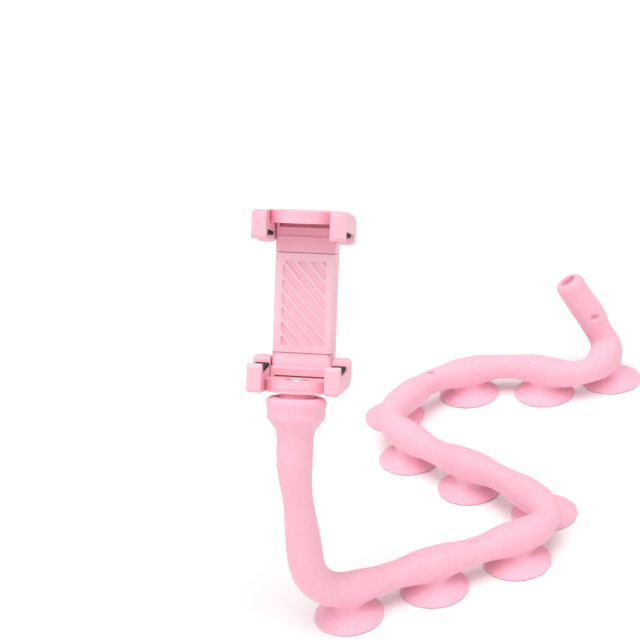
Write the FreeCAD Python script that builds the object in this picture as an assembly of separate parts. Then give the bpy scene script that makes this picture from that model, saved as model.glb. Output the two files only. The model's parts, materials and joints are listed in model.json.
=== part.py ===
"""Flexible suction-cup phone mount: a bendable silicone arm on a row of cups, with a sprung clamp.

All sizes are in millimetres and all angles in degrees. +Z is up, the cups stand on the plane z = 0,
and the clamp's front faces -Y. The origin is the middle of the footprint.
"""
import FreeCAD
import Part
import math
import os
from FreeCAD import Placement, Rotation, Vector

# Suction cups
CUP_PITCH = 45.0
CUP_RIM_DIAMETER = 35.0
CUP_RIM_BAND = 2.2
CUP_HOLLOW = 3.6
CUP_CONE_TOP = 5.8
CUP_STEM_DIAMETER = 13.4

# Silicone arm
ARM_AXIS_HEIGHT = 14.3
SWELL_DIAMETER = 16.6
WAIST_DIAMETER = 13.4
NECK_DIAMETER = 14.8
CUP_RUN = 14.0
BEND_STEPS = 3
SHARP_BEND_STEPS = 5
SHARP_BEND = 50.0
TAIL_DIAMETER = 16.4
TAIL_ROUNDING = 3.4
TAIL_HOLE_DIAMETER = 9.0
TAIL_HOLE_DEPTH = 9.0
PIN_HOLE_DIAMETER = 2.8
TAIL_PIN_DIAMETER = 4.6
HEAD_DIAMETER = 28.0
HEAD_TAPER = 1.2
HEAD_HEIGHT = 8.6
HEAD_FLARE = 10.5
HEAD_EDGE = 2.4
# Shares of the flare's height and of its width left there
HEAD_FLARE_CURVE = [(0.35, 0.45), (0.7, 0.13)]

# The arm's bent pose, from the head to the tail: lengths along the axis and directions of travel
LEAN_BACK = 24.1
LEAN_SIDE = 4.3
HEAD_RUN = 25.6
HEAD_BEND = 15.0
NECK_RUN = 44.2
NECK_WAIST = 9.0
NECK_SWELL = 34.0
FOOT_BEND = 37.5
FOOT_RUN = -5.5
CUP_HEADINGS = [30.3, 26.6, 30.7, 130.1, 145.8, 133.5, 60.6, 21.4, -23.3, 65.9]
# How far each cup stands out to the right of the arm, where the arm rolls over in a corner
CUP_OFFSETS = [0, 0, 0, 8.2, 0, 0, -8.8, 0, 0, 2.4]
TAIL_START = -1.7
TAIL_BEND = 18.0
TAIL_AZIMUTH = 178.1
TAIL_ELEVATION = 62.0
TAIL_RUN = 38.8
# Bends, counted from the head, with a hole that a mould pin leaves in the top of the arm
PIN_HOLE_BENDS = [3, 8]
TAIL_PIN = 13.2
TAIL_PIN_AZIMUTH = -60.0

# Swivel: plug, screw and washer on the clamp's turning axis
COLLAR_DIAMETER = 15.6
COLLAR_STAND = 2.2
COLLAR_DEPTH = 3.0
PLUG_FLANGE_DIAMETER = 21.0
PLUG_FLANGE = 4.0
PLUG_SHANK_DIAMETER = 9.8
PLUG_LENGTH = 25.0
PLUG_CLEARANCE = 0.05
SWIVEL_GAP = 0.2
SCREW_DIAMETER = 4.0
SCREW_LENGTH = 14.0
SCREW_RUNNING_GAP = 0.08
SCREW_HEAD_DIAMETER = 8.0
SCREW_HEAD_HEIGHT = 2.2
SCREW_HEAD_CHAMFER = 0.8
SCREW_CROSS_WIDTH = 1.2
SCREW_CROSS_LENGTH = 4.6
SCREW_CROSS_DEPTH = 1.3
WASHER_DIAMETER = 9.4
WASHER_THICKNESS = 0.8
RECESS_DIAMETER = 10.4
RECESS_DEPTH = 2.8

# Clamp, in its own frame: the swivel axis is Z, the ledge's underside is z = 0, the front faces -Y
PLATE_WIDTH = 28.0
PLATE_FRONT = 10.0
HOUSING_DEPTH = 12.0
PLATE_EDGE_RADIUS = 2.0
LEDGE_THICKNESS = 5.6
LEDGE_REACH = 11.0
LEDGE_CORNER = 1.0
LEDGE_STEP_HEIGHT = 2.3
LEDGE_STEP_DEPTH = 0.5
FOOT_RIB_HEIGHT = 4.8
FOOT_RIB_DEPTH = 1.0
SEAM_HEIGHT = 16.5
COVER_HEIGHT = 46.0
COVER_THICKNESS = 2.6
SEAM_GAP = 0.3
OPENING = 71.0
UPPER_STEP_HEIGHT = 7.2
UPPER_STEP_DEPTH = 0.6

# Hooked arms of both jaws
HOOK_INNER = 14.4
HOOK_WIDTH = 8.0
HOOK_TIP_TAPER = 1.4
HOOK_FRONT = 12.5
HOOK_BACK = 16.0
HOOK_CHAMFER = 1.5
HOOK_TIP_THICKNESS = 3.6
HOOK_TIP_SLOPE = 1.6
HOOK_TIP_RISE = 4.4
HOOK_FLAT = 10.8
HOOK_CORNER = 2.2
SHELF_HEIGHT = 8.6
SHELF_RISE = 1.6
WING_FRONT = 8.4
WING_RISE = 5.1
WING_LEAN = 0.5
HOOK_SHOULDER = 2.0
HOOK_BACK_RISE = 6.0
HOOK_BACK_BULGE = 1.6
GRIP_NOTCHES = 3
GRIP_NOTCH_RADIUS = 0.9
GRIP_NOTCH_SPACING = 3.6
GRIP_NOTCH_DROP = 3.5
PAD_THICKNESS = 1.7
PAD_GAP = 0.2

# Diagonal grooves in the front cover
GROOVE_FIELD_WIDTH = 20.0
GROOVE_FIELD_HEIGHT = 38.5
GROOVE_PITCH = 6.5
GROOVE_RIB = 2.2
GROOVE_ANGLE = 48.0
GROOVE_DEPTH = 0.7

# Slide: tongue, spring and cover screws
TONGUE_WIDTH = 17.0
TONGUE_LENGTH = 41.0
TONGUE_FRONT_WALL = 1.6
TONGUE_CHANNEL_WIDTH = 9.0
TONGUE_WEB = 8.0
SLIDE_GAP = 0.3
BACK_WALL = 2.0
SPRING_DIAMETER = 4.8
SPRING_WIRE = 0.8
SPRING_TURNS = 7
SPRING_STEPS = 14
SPRING_PEG_LENGTH = 4.0
SPRING_PEG_GAP = 0.1
COVER_SCREW_X = 11.3
COVER_SCREW_BITE = 1.6
COVER_SCREW_DIAMETER = 1.8
COVER_SCREW_HEAD_DIAMETER = 3.6
COVER_SCREW_HEAD = 1.4
COVER_SCREW_GAP = 0.15

# Worked out from the sizes above
HOUSING_BACK = PLATE_FRONT + HOUSING_DEPTH
SLIDE_FRONT = PLATE_FRONT + COVER_THICKNESS
SLIDE_BACK = HOUSING_BACK - BACK_WALL
TOP_SEAM = SEAM_HEIGHT + COVER_HEIGHT
UPPER_LEDGE = LEDGE_THICKNESS + OPENING
CLAMP_TOP = UPPER_LEDGE + LEDGE_THICKNESS
TONGUE_BOTTOM = TOP_SEAM - TONGUE_LENGTH
SPRING_Y = (SLIDE_FRONT + TONGUE_FRONT_WALL + SLIDE_BACK) / 2
SPRING_FOOT = SEAM_HEIGHT + SEAM_GAP
SPRING_HEAD = TOP_SEAM - TONGUE_WEB
RISE = Vector(0, 0, 1)
ORIGIN = Vector(0, 0, 0)
# How far a cutter runs past a face, or a joined piece into its neighbour
OVERLAP = 1.0
EXTENT_FINENESS = 0.05
NEARNESS = 1e-4


def direction(azimuth, elevation):
    """Unit vector at an azimuth from +X and an elevation above the desk."""
    azimuth, elevation = math.radians(azimuth), math.radians(elevation)
    level = math.cos(elevation)
    return Vector(level * math.cos(azimuth), level * math.sin(azimuth), math.sin(elevation))


CLAMP_TURN = Rotation(Vector(1, 0, 0), -LEAN_BACK) * Rotation(Vector(0, 1, 0), LEAN_SIDE)
CLAMP_AXIS = CLAMP_TURN.multVec(RISE)


class Route:
    """The arm's axis: straight runs and planar bends, each tangent to the one before."""

    def __init__(self, heading):
        self.end = Vector(ORIGIN)
        self.heading = Vector(heading)
        self.tube = []
        self.cups = []
        self.pins = []

    def place(self):
        """Placement at the route's end with Z along the direction of travel."""
        return Placement(self.end, Rotation(RISE, self.heading))

    def run(self, piece, length):
        """Go straight on along a turned piece of the tube that starts at z = 0."""
        piece.Placement = self.place()
        self.tube.append(piece)
        self.end = self.end + self.heading * length

    def bend(self, length, heading, waist=SWELL_DIAMETER, finish=SWELL_DIAMETER):
        """Turn evenly to a new heading, through rings that narrow to a waist half way or at the end."""
        angle = self.heading.getAngle(heading)
        side = (heading - self.heading * math.cos(angle)).normalize()
        centre = self.end + side * (length / angle)
        axis = self.heading.cross(side)
        steps = SHARP_BEND_STEPS if math.degrees(angle) > SHARP_BEND else BEND_STEPS
        rings = []
        for index in range(steps + 1):
            share = index / steps
            slim = min(1, (math.sin(math.pi * share) / math.sin(math.pi / BEND_STEPS)) ** 2)
            width = SWELL_DIAMETER + (waist - SWELL_DIAMETER) * slim
            width += (finish - SWELL_DIAMETER) * share
            ring = circle_wire(width / 2, self.end, self.heading)
            ring.rotate(centre, axis, math.degrees(angle * share))
            rings.append(ring)
        self.tube.append(Part.makeLoft(rings, True, True))
        half_way = Rotation(axis, math.degrees(angle / 2))
        self.pins.append((centre + half_way.multVec(self.end - centre),
                          half_way.multVec(self.heading), RISE, PIN_HOLE_DIAMETER))
        self.end = centre + Rotation(axis, math.degrees(angle)).multVec(self.end - centre)
        self.heading = Vector(heading)

    def over_cup(self, before, after, offset):
        """Go straight over a cup that stands out to the right by an offset."""
        self.run(Part.makeCylinder(SWELL_DIAMETER / 2, before + after), before)
        self.cups.append((self.end, self.end + self.heading.cross(RISE) * offset))
        self.end = self.end + self.heading * after


def arm_route():
    """The arm laid out from the head's top to the tail's end."""
    half = CUP_RUN / 2
    route = Route(CLAMP_AXIS * -1)
    route.run(head_socket(), HEAD_RUN)
    route.bend(HEAD_BEND, RISE * -1, finish=NECK_DIAMETER)
    route.run(neck(), NECK_RUN)
    route.bend(FOOT_BEND, direction(CUP_HEADINGS[0], 0))
    route.over_cup(FOOT_RUN, half, CUP_OFFSETS[0])
    last = len(CUP_HEADINGS) - 1
    for index in range(1, last + 1):
        route.bend(CUP_PITCH - CUP_RUN, direction(CUP_HEADINGS[index], 0), WAIST_DIAMETER)
        route.over_cup(half, TAIL_START if index == last else half, CUP_OFFSETS[index])
    route.bend(TAIL_BEND, direction(TAIL_AZIMUTH, TAIL_ELEVATION))
    route.pins.append((route.end + route.heading * TAIL_PIN, route.heading,
                       direction(TAIL_PIN_AZIMUTH, 0), TAIL_PIN_DIAMETER))
    route.run(tail_end(), TAIL_RUN)
    return route


def outline(start, *steps):
    """Closed wire: each step is a point for a line, or a pair (through, end) for an arc."""
    edges, here = [], start
    for step in steps + (start,):
        if isinstance(step, tuple):
            edges.append(Part.Arc(here, step[0], step[1]).toShape())
            here = step[1]
        elif (step - here).Length > NEARNESS:
            edges.append(Part.LineSegment(here, step).toShape())
            here = step
    return Part.Wire(edges)


def extruded(wire, along):
    """Solid from a closed flat wire pushed along a vector."""
    return Part.Face(wire).extrude(along)


def turned(*points):
    """Solid of revolution about Z from (radius, height) points; a pair of points is an arc."""
    def place(point):
        return Vector(point[0], 0, point[1])
    steps = [(place(one[0]), place(one[1])) if isinstance(one[0], tuple) else place(one)
             for one in points]
    return Part.Face(outline(steps[0], *steps[1:])).revolve(ORIGIN, RISE, 360)


def block(x, y, z):
    """Box from its (low, high) pairs along X, Y and Z."""
    return Part.makeBox(x[1] - x[0], y[1] - y[0], z[1] - z[0], Vector(x[0], y[0], z[0]))


def upright_edges(shape, y):
    """Edges parallel to Z that lie at one Y."""
    return [edge for edge in shape.Edges
            if abs(edge.BoundBox.YMin - y) < NEARNESS and abs(edge.BoundBox.YMax - y) < NEARNESS
            and edge.BoundBox.ZLength > NEARNESS and edge.BoundBox.XLength < NEARNESS]


def rounded_plate(y, z):
    """Plate of the clamp's width with its front uprights rounded."""
    plate = block((-PLATE_WIDTH / 2, PLATE_WIDTH / 2), y, z)
    return plate.makeFillet(PLATE_EDGE_RADIUS, upright_edges(plate, y[0]))


def circle_wire(radius, centre, along):
    """Round wire across a direction."""
    return Part.Wire(Part.makeCircle(radius, centre, along).Curve.toBSpline().toShape())


def suction_cup(crown, foot):
    """One cup on the desk at its foot, with the stem that joins it to the arm's axis at its crown."""
    rim, stem = CUP_RIM_DIAMETER / 2, CUP_STEM_DIAMETER / 2
    leaning = (crown - foot).Length > 0
    top = CUP_CONE_TOP if leaning else ARM_AXIS_HEIGHT
    skirt = [(rim, 0), (rim - CUP_RIM_BAND, 0), (0, CUP_HOLLOW)]
    shank = [(stem, CUP_CONE_TOP)] if leaning else [(stem, top), (stem, CUP_CONE_TOP)]
    cup = turned((0, top), *shank, *skirt)
    cup.translate(foot - RISE * ARM_AXIS_HEIGHT)
    if not leaning:
        return [cup]
    ends = [foot - RISE * (ARM_AXIS_HEIGHT - CUP_CONE_TOP), crown]
    return [cup, Part.makeLoft([circle_wire(stem, end, RISE) for end in ends], True, True)]


def tail_end():
    """Last stretch of the tube from z = 0, with a rounded end and an open hole."""
    radius, hole = TAIL_DIAMETER / 2, TAIL_HOLE_DIAMETER / 2
    corner = TAIL_ROUNDING * (1 - math.sqrt(0.5))
    return turned((0, 0), (SWELL_DIAMETER / 2, 0), (radius, TAIL_RUN - TAIL_ROUNDING),
                  (radius - corner, TAIL_RUN - corner), (radius - TAIL_ROUNDING, TAIL_RUN),
                  (hole, TAIL_RUN), (hole, TAIL_RUN - TAIL_HOLE_DEPTH),
                  (0, TAIL_RUN - TAIL_HOLE_DEPTH))


def head_socket():
    """The arm's thick head and the neck under it, from the head's top at z = 0."""
    radius = HEAD_DIAMETER / 2
    low, neck = radius - HEAD_TAPER, SWELL_DIAMETER / 2
    corner = HEAD_EDGE * (1 - math.sqrt(0.5))
    flare = [(neck + (low - neck) * width, HEAD_HEIGHT + HEAD_FLARE * height)
             for height, width in HEAD_FLARE_CURVE]
    return turned((0, 0), (radius - HEAD_EDGE, 0), (radius - corner, corner), (radius, HEAD_EDGE),
                  (low, HEAD_HEIGHT), *flare, (neck, HEAD_HEIGHT + HEAD_FLARE),
                  (neck, HEAD_RUN), (0, HEAD_RUN))


def neck():
    """Upright neck from z = 0, narrowing to a waist and swelling again."""
    swell = SWELL_DIAMETER / 2
    return turned((0, 0), (NECK_DIAMETER / 2, 0), (WAIST_DIAMETER / 2, NECK_WAIST),
                  (swell, NECK_SWELL), (swell, NECK_RUN), (0, NECK_RUN))


def plug_form(clearance):
    """Outside of the swivel plug, or with a clearance the socket that holds it."""
    top = -SWIVEL_GAP
    flange = -COLLAR_STAND - COLLAR_DEPTH + clearance
    shank = flange - PLUG_FLANGE - 2 * clearance
    foot = -COLLAR_STAND - PLUG_LENGTH - clearance
    collar, rim = COLLAR_DIAMETER / 2 + clearance, PLUG_FLANGE_DIAMETER / 2 + clearance
    stem = PLUG_SHANK_DIAMETER / 2 + clearance
    return turned((0, top), (collar, top), (collar, flange), (rim, flange), (rim, shank),
                  (stem, shank), (stem, foot), (0, foot))


def swivel_plug():
    """Plug with the screw's hole from above."""
    thread = Part.makeCylinder(SCREW_DIAMETER / 2, SCREW_LENGTH, ORIGIN, RISE * -1)
    return plug_form(0).cut(thread)


def swivel_screw():
    """Pan-head screw with a cross recess, down through the washer and ledge into the plug."""
    seat = LEDGE_THICKNESS - RECESS_DEPTH + SWIVEL_GAP + WASHER_THICKNESS
    head, crown = SCREW_HEAD_DIAMETER / 2, seat + SCREW_HEAD_HEIGHT
    shank = SCREW_DIAMETER / 2
    tip = -SCREW_LENGTH + SWIVEL_GAP
    body = turned((0, crown), (head - SCREW_HEAD_CHAMFER, crown), (head, crown - SCREW_HEAD_CHAMFER),
                  (head, seat), (shank, seat), (shank, tip), (0, tip))
    half, reach = SCREW_CROSS_WIDTH / 2, SCREW_CROSS_LENGTH / 2
    depth = (crown - SCREW_CROSS_DEPTH, crown)
    return body.cut([block((-half, half), (-reach, reach), depth),
                     block((-reach, reach), (-half, half), depth)])


def swivel_washer():
    """Flat washer in the ledge's recess."""
    foot = Vector(0, 0, LEDGE_THICKNESS - RECESS_DEPTH + SWIVEL_GAP)
    disc = Part.makeCylinder(WASHER_DIAMETER / 2, WASHER_THICKNESS, foot)
    hole = Part.makeCylinder(SCREW_DIAMETER / 2 + SCREW_RUNNING_GAP, WASHER_THICKNESS, foot)
    return disc.cut(hole)


def ledge():
    """Ledge of a jaw from z = 0 up, with a bowed front and a step line along it."""
    def layer(inset, low, high):
        side, rear = HOOK_INNER + OVERLAP, PLATE_FRONT + OVERLAP
        left, right = Vector(-side, rear, low), Vector(side, rear, low)
        corner_left = Vector(-side, LEDGE_CORNER, low)
        corner_right = Vector(side, LEDGE_CORNER, low)
        nose = Vector(0, -LEDGE_REACH + inset, low)
        return extruded(outline(left, right, corner_right, (nose, corner_left)),
                        RISE * (high - low))
    upper = layer(0, LEDGE_STEP_HEIGHT, LEDGE_THICKNESS)
    return upper.fuse(layer(LEDGE_STEP_DEPTH, 0, LEDGE_STEP_HEIGHT))


def shelf_line():
    """Front and rear (y, z) of the shelf that the pad lies on."""
    front = -HOOK_FRONT + HOOK_TIP_THICKNESS + HOOK_TIP_SLOPE
    return (front, SHELF_HEIGHT), (WING_FRONT, SHELF_HEIGHT + SHELF_RISE)


def hook_front(crest):
    """A hooked arm's outline from the front: rounded at the wing's top, chamfered at the foot."""
    def place(x, z):
        return Vector(x, -HOOK_FRONT, z)
    inner, outer = HOOK_INNER, HOOK_INNER + HOOK_WIDTH
    corner = HOOK_CORNER * (1 - math.sqrt(0.5))
    wire = outline(place(inner, 0), place(outer - HOOK_CORNER, 0), place(outer, HOOK_CORNER),
                   place(outer, crest - HOOK_CORNER),
                   (place(outer - corner, crest - corner), place(outer - HOOK_CORNER, crest)),
                   place(inner + HOOK_CORNER, crest),
                   (place(inner + corner, crest - corner), place(inner, crest - HOOK_CORNER)))
    return extruded(wire, Vector(0, HOOK_FRONT + HOOK_BACK + HOOK_BACK_BULGE, 0))


def hook_arm():
    """Right-hand hooked arm of the lower jaw: tip, notch for the pad, wing and ribbed back."""
    def place(y, z):
        return Vector(HOOK_INNER, y, z)
    (notch_y, notch_z), (wing_y, wing_z) = shelf_line()
    tip, crest = notch_z + HOOK_TIP_RISE, wing_z + WING_RISE
    front, back = -HOOK_FRONT, HOOK_BACK
    wing_mid = (wing_y + back) / 2
    turn_y = front + HOOK_FLAT
    bulge = place((turn_y + back) / 2 + HOOK_BACK_BULGE, HOOK_BACK_RISE / 2 - HOOK_BACK_BULGE)
    side = outline(
        place(front, HOOK_CHAMFER), place(front + HOOK_CHAMFER, 0), place(turn_y, 0),
        (bulge, place(back, HOOK_BACK_RISE)), place(back, crest - HOOK_SHOULDER),
        (place(wing_mid, crest), place(wing_y + WING_LEAN, crest - HOOK_SHOULDER)),
        place(wing_y, wing_z), place(notch_y, notch_z), place(notch_y - HOOK_TIP_SLOPE, tip),
        place(front + HOOK_CHAMFER, tip), place(front, tip - HOOK_CHAMFER))
    arm = extruded(side, Vector(HOOK_WIDTH, 0, 0))
    outer = HOOK_INNER + HOOK_WIDTH
    taper = outline(Vector(outer - HOOK_TIP_TAPER, front, 0), Vector(outer + OVERLAP, front, 0),
                    Vector(outer + OVERLAP, wing_y, 0), Vector(outer, wing_y, 0))
    arm = arm.common(hook_front(crest)).cut(extruded(taper, RISE * crest))
    centre = (Vector(0, back, HOOK_BACK_RISE) + Vector(0, turn_y, 0)) * 0.5
    notches = []
    for index in range(GRIP_NOTCHES):
        across = centre + Vector(0, GRIP_NOTCH_SPACING * (index - (GRIP_NOTCHES - 1) / 2), 0)
        share = (across.y - turn_y) / (back - turn_y)
        drop = HOOK_BACK_RISE * share - GRIP_NOTCH_DROP * math.sin(math.pi * share)
        notches.append(Part.makeCylinder(GRIP_NOTCH_RADIUS, HOOK_WIDTH,
                                         Vector(HOOK_INNER, across.y, drop), Vector(1, 0, 0)))
    return arm.cut(notches)


def hook_pad():
    """Right-hand rubber pad on the lower jaw's shelf."""
    (front, low), (rear, high) = shelf_line()
    slope = (high - low) / (rear - front)
    front, rear = front + PAD_GAP, rear - PAD_GAP
    low, high = low + slope * PAD_GAP, high - slope * PAD_GAP
    left = HOOK_INNER + PAD_GAP
    lean = HOOK_TIP_SLOPE / HOOK_TIP_RISE * PAD_THICKNESS
    side = outline(Vector(left, front, low), Vector(left, rear, high),
                   Vector(left, rear, high + PAD_THICKNESS),
                   Vector(left, front - lean, low + PAD_THICKNESS))
    return extruded(side, Vector(HOOK_WIDTH - HOOK_TIP_TAPER - PAD_GAP, 0, 0))


def mirrored(shape):
    """The same piece on the clamp's left-hand side."""
    return shape.mirror(ORIGIN, Vector(1, 0, 0))


def for_upper_jaw(shape):
    """A lower jaw's form turned over to the upper jaw's place."""
    return shape.mirror(Vector(0, 0, CLAMP_TOP / 2), RISE)


def cover_screw_places():
    """(x, z) of the cover's screws."""
    middle = (SEAM_HEIGHT + TOP_SEAM) / 2
    return [(-COVER_SCREW_X, middle), (COVER_SCREW_X, middle)]


def rearward(radius, begin, end, x, z):
    """Cylinder along Y between two depths in the clamp."""
    return Part.makeCylinder(radius, end - begin, Vector(x, begin, z), Vector(0, 1, 0))


def spring_peg(foot, along):
    """Peg that one end of the spring is wound on."""
    inside = SPRING_DIAMETER / 2 - SPRING_WIRE - SPRING_PEG_GAP
    return Part.makeCylinder(inside, SPRING_PEG_LENGTH, foot, along)


def foot_rib():
    """Rib along the foot of the lower plate, over the ledge, with a sloping top."""
    front, rear = PLATE_FRONT - FOOT_RIB_DEPTH, PLATE_FRONT + OVERLAP
    low, high = LEDGE_THICKNESS - OVERLAP, LEDGE_THICKNESS + FOOT_RIB_HEIGHT
    left = -PLATE_WIDTH / 2
    side = outline(Vector(left, rear, low), Vector(left, front, low),
                   Vector(left, front, high - FOOT_RIB_DEPTH), Vector(left, PLATE_FRONT, high),
                   Vector(left, rear, high))
    return extruded(side, Vector(PLATE_WIDTH, 0, 0))


def lower_jaw():
    """Lower jaw: ledge, hooked arms, and the housing's back shell with the slide channel."""
    arm = hook_arm()
    half = PLATE_WIDTH / 2
    foot = rounded_plate((PLATE_FRONT, HOUSING_BACK), (0, SEAM_HEIGHT))
    shell = block((-half, half), (SLIDE_FRONT, HOUSING_BACK), (0, TOP_SEAM))
    guide = TONGUE_WIDTH / 2 + SLIDE_GAP
    channel = block((-guide, guide), (PLATE_FRONT, SLIDE_BACK), (SEAM_HEIGHT, TOP_SEAM))
    body = foot.fuse([shell, ledge(), foot_rib(), arm, mirrored(arm)]).removeSplitter().cut(channel)
    cuts = [Part.makeCylinder(RECESS_DIAMETER / 2, RECESS_DEPTH,
                              Vector(0, 0, LEDGE_THICKNESS - RECESS_DEPTH)),
            Part.makeCylinder(SCREW_DIAMETER / 2 + SCREW_RUNNING_GAP, LEDGE_THICKNESS)]
    head = COVER_SCREW_HEAD_DIAMETER / 2 + COVER_SCREW_GAP
    hole = COVER_SCREW_DIAMETER / 2 + COVER_SCREW_GAP
    for x, z in cover_screw_places():
        cuts.append(rearward(hole, SLIDE_FRONT, HOUSING_BACK, x, z))
        cuts.append(rearward(head, HOUSING_BACK - COVER_SCREW_HEAD, HOUSING_BACK, x, z))
    return body.cut(cuts).fuse(spring_peg(Vector(0, SPRING_Y, SEAM_HEIGHT), RISE))


def cover_grooves():
    """Diagonal grooves clipped to a rectangle in the middle of the cover."""
    middle = (SEAM_HEIGHT + TOP_SEAM) / 2
    half_w, half_h = GROOVE_FIELD_WIDTH / 2, GROOVE_FIELD_HEIGHT / 2
    depth = (PLATE_FRONT, PLATE_FRONT + GROOVE_DEPTH)
    field = block((-half_w, half_w), depth, (middle - half_h, middle + half_h))
    slope = math.tan(math.radians(GROOVE_ANGLE))
    reach = half_w * slope
    count = int((half_h + reach) / GROOVE_PITCH) + 1
    ribs = []
    for index in range(-count, count + 1):
        centre = middle + index * GROOVE_PITCH
        left, right = centre + reach, centre - reach
        ribs.append(extruded(outline(Vector(-half_w, depth[0], left),
                                     Vector(half_w, depth[0], right),
                                     Vector(half_w, depth[0], right + GROOVE_RIB),
                                     Vector(-half_w, depth[0], left + GROOVE_RIB)),
                             Vector(0, GROOVE_DEPTH, 0)))
    return field.cut(ribs)


def front_cover():
    """Grooved cover with blind holes behind that its screws bite into."""
    cover = rounded_plate((PLATE_FRONT, SLIDE_FRONT), (SEAM_HEIGHT + SEAM_GAP, TOP_SEAM))
    holes = [rearward(COVER_SCREW_DIAMETER / 2, SLIDE_FRONT - COVER_SCREW_BITE, SLIDE_FRONT, x, z)
             for x, z in cover_screw_places()]
    return cover.cut([cover_grooves()] + holes)


def cover_screws():
    """The cover's screws as separate solids of one group."""
    seat = HOUSING_BACK - COVER_SCREW_HEAD
    screws = []
    for x, z in cover_screw_places():
        head = rearward(COVER_SCREW_HEAD_DIAMETER / 2, seat, HOUSING_BACK, x, z)
        shank = rearward(COVER_SCREW_DIAMETER / 2, SLIDE_FRONT - COVER_SCREW_BITE, seat, x, z)
        screws.append(head.fuse(shank))
    return Part.makeCompound(screws)


def upper_jaw():
    """Sliding jaw: plate, ledge, hooked arms, and the tongue with the spring's channel."""
    arm = for_upper_jaw(hook_arm())
    low = TOP_SEAM + SEAM_GAP
    step = low + UPPER_STEP_HEIGHT
    plate = rounded_plate((PLATE_FRONT, HOUSING_BACK), (low, CLAMP_TOP))
    half, face = PLATE_WIDTH / 2, PLATE_FRONT + UPPER_STEP_DEPTH
    plate = plate.cut(block((-half, half), (PLATE_FRONT, face), (step, UPPER_LEDGE)))
    width = TONGUE_WIDTH / 2
    front, back = SLIDE_FRONT + SLIDE_GAP, SLIDE_BACK - SLIDE_GAP
    tongue = block((-width, width), (front, back), (TONGUE_BOTTOM, low + OVERLAP))
    slot = TONGUE_CHANNEL_WIDTH / 2
    channel = block((-slot, slot), (front + TONGUE_FRONT_WALL, back), (TONGUE_BOTTOM, SPRING_HEAD))
    peg = spring_peg(Vector(0, SPRING_Y, SPRING_HEAD), RISE * -1)
    return plate.fuse([for_upper_jaw(ledge()), arm, mirrored(arm), tongue]).cut(channel).fuse(peg)


def jaw_spring():
    """Extension spring between the peg on the lower jaw and the peg on the tongue."""
    wire = SPRING_WIRE / 2
    low, high = SPRING_FOOT + wire, SPRING_HEAD - SEAM_GAP - wire
    radius = SPRING_DIAMETER / 2 - wire
    corners = [Vector(radius + wire, 0, 0), Vector(radius, 0, wire), Vector(radius - wire, 0, 0),
               Vector(radius, 0, -wire)]
    count = SPRING_TURNS * SPRING_STEPS
    sections = []
    for index in range(count + 1):
        section = Part.makePolygon(corners + corners[:1])
        section.rotate(ORIGIN, RISE, 360 * index / SPRING_STEPS)
        section.translate(Vector(0, SPRING_Y, low + (high - low) * index / count))
        sections.append(section)
    return Part.makeLoft(sections, True, True)


def silicone_arm(route, clamp_place):
    """The one-piece arm: tube, cups and head, with the plug's socket and the mould pins' holes."""
    cups = [piece for crown, foot in route.cups for piece in suction_cup(crown, foot)]
    arm = route.tube[0].fuse(route.tube[1:] + cups)
    socket = plug_form(PLUG_CLEARANCE)
    socket.Placement = clamp_place
    cuts = [socket]
    for number in PIN_HOLE_BENDS + [-1]:
        point, heading, facing, width = route.pins[number]
        across = facing - heading * heading.dot(facing)
        cuts.append(Part.makeCylinder(width / 2, SWELL_DIAMETER, point, across))
    return arm.cut(cuts)


def clamp_pieces():
    """Every piece on the swivel axis, in the clamp's own frame."""
    pad = hook_pad()
    upper_pad = for_upper_jaw(pad)
    return {
        "swivel_plug": swivel_plug(), "swivel_screw": swivel_screw(),
        "swivel_washer": swivel_washer(), "lower_jaw": lower_jaw(), "front_cover": front_cover(),
        "cover_screws": cover_screws(), "upper_jaw": upper_jaw(), "jaw_spring": jaw_spring(),
        "lower_pad_right": pad, "lower_pad_left": mirrored(pad),
        "upper_pad_right": upper_pad, "upper_pad_left": mirrored(upper_pad)}


def extent_middle(points, axis):
    """Middle between the least and greatest of the points along one axis."""
    values = [point[axis] for point in points]
    return (min(values) + max(values)) / 2


def build():
    """Every piece by its node name, with the middle of the footprint at the origin."""
    route = arm_route()
    clamp_place = Placement(CLAMP_AXIS * COLLAR_STAND, CLAMP_TURN)
    pieces = {"silicone_arm": silicone_arm(route, clamp_place)}
    for name, shape in clamp_pieces().items():
        shape.Placement = clamp_place.multiply(shape.Placement)
        pieces[name] = shape
    points = [point for shape in pieces.values() for point in shape.tessellate(EXTENT_FINENESS)[0]]
    desk = route.cups[0][0].z - ARM_AXIS_HEIGHT
    shift = Vector(-extent_middle(points, 0), -extent_middle(points, 1), -desk)
    for shape in pieces.values():
        shape.translate(shift)
    return pieces


def main():
    """Build the pieces and write one file for each."""
    pieces = build()
    os.makedirs("parts", exist_ok=True)
    for name, shape in pieces.items():
        shape.exportStep("parts/" + name + ".step")


main()
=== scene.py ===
"""Dresses the suction-cup phone mount: soft silicone arm, moulded clamp, pads, screws and spring.

Lengths in the classes are in millimetres, and every mesh is in metres in the model's own frame.
"""
import json
import logging
import math
from collections.abc import Callable, Iterator
from contextlib import contextmanager
from dataclasses import dataclass
from enum import Enum

import bmesh
import bpy
from mathutils import Matrix, Vector


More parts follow.
